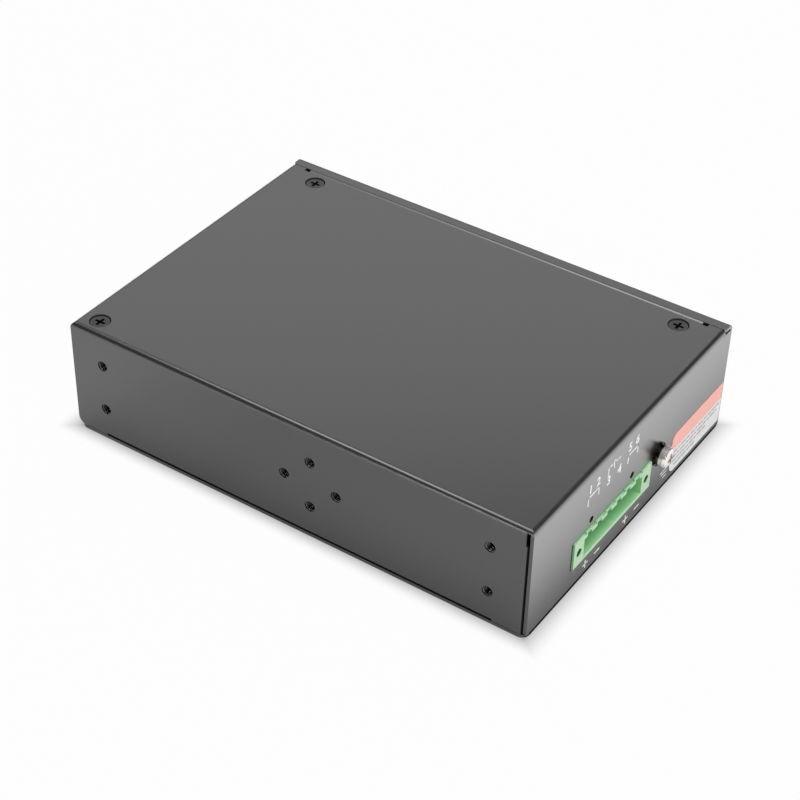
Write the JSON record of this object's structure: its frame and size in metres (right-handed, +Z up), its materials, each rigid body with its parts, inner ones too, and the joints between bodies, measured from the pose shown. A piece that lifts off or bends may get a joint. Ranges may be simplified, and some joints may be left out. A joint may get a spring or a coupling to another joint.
{
  "type": "industrial ethernet switch",
  "caption": "Flat industrial ethernet switch in a folded black steel case, with stacked network ports, module bays, status lamps, a green power and alarm header and an earth screw.",
  "frame": {"origin": "on the resting face of the base plate, under the middle of the case", "axes": "+X to the end with the header and the earth screw, along the long mounting face; +Y to the port panel, away from the long mounting face; +Z up through the cover"},
  "size_m": [0.1518, 0.107, 0.036],
  "materials": {
    "case_coat": "satin",
    "black_zinc": "satin",
    "bright_zinc": "satin",
    "polished_nickel": "polished",
    "tinned_pin": "polished",
    "header_green": "satin",
    "label_face": "satin",
    "board_green": "satin",
    "insulator_black": "satin",
    "contact_gold": "polished",
    "lamp_lens": "polished",
    "chip_black": "matte",
    "pad_grey": "matte",
    "sink_aluminium": "satin",
    "relay_case": "polished",
    "fuse_body": "polished",
    "disc_blue": "polished",
    "coil_dark": "matte"
  },
  "bodies": {
    "root": {"case_shell": "case_coat", "base_panel": "case_coat", "case_screws": "black_zinc", "case_pillars": "bright_zinc", "ground_screw": "polished_nickel", "ground_spring_washer": "black_zinc", "ground_tooth_washer": "black_zinc", "ground_nut": "bright_zinc", "terminal_header": "header_green", "header_nuts": "bright_zinc", "terminal_pins": "tinned_pin", "side_label": "label_face", "circuit_board": "board_green", "board_standoffs": "bright_zinc", "board_screws": "bright_zinc", "port_housing": "insulator_black", "port_shield": "bright_zinc", "port_contacts": "contact_gold", "sfp_cage_1": "bright_zinc", "sfp_cage_2": "bright_zinc", "sfp_connectors": "insulator_black", "led_holder": "insulator_black", "status_leds": "lamp_lens", "link_lamps": "lamp_lens", "switch_chip": "chip_black", "thermal_pad": "pad_grey", "heat_sink": "sink_aluminium", "flash_chip": "chip_black", "clock_crystal": "bright_zinc", "power_inductors": "coil_dark", "bulk_capacitors": "sink_aluminium", "alarm_relay": "relay_case", "input_fuse": "fuse_body", "surge_absorbers": "disc_blue", "common_mode_choke": "coil_dark", "power_controller": "chip_black", "port_transformers": "chip_black"}
  },
  "joints": []
}
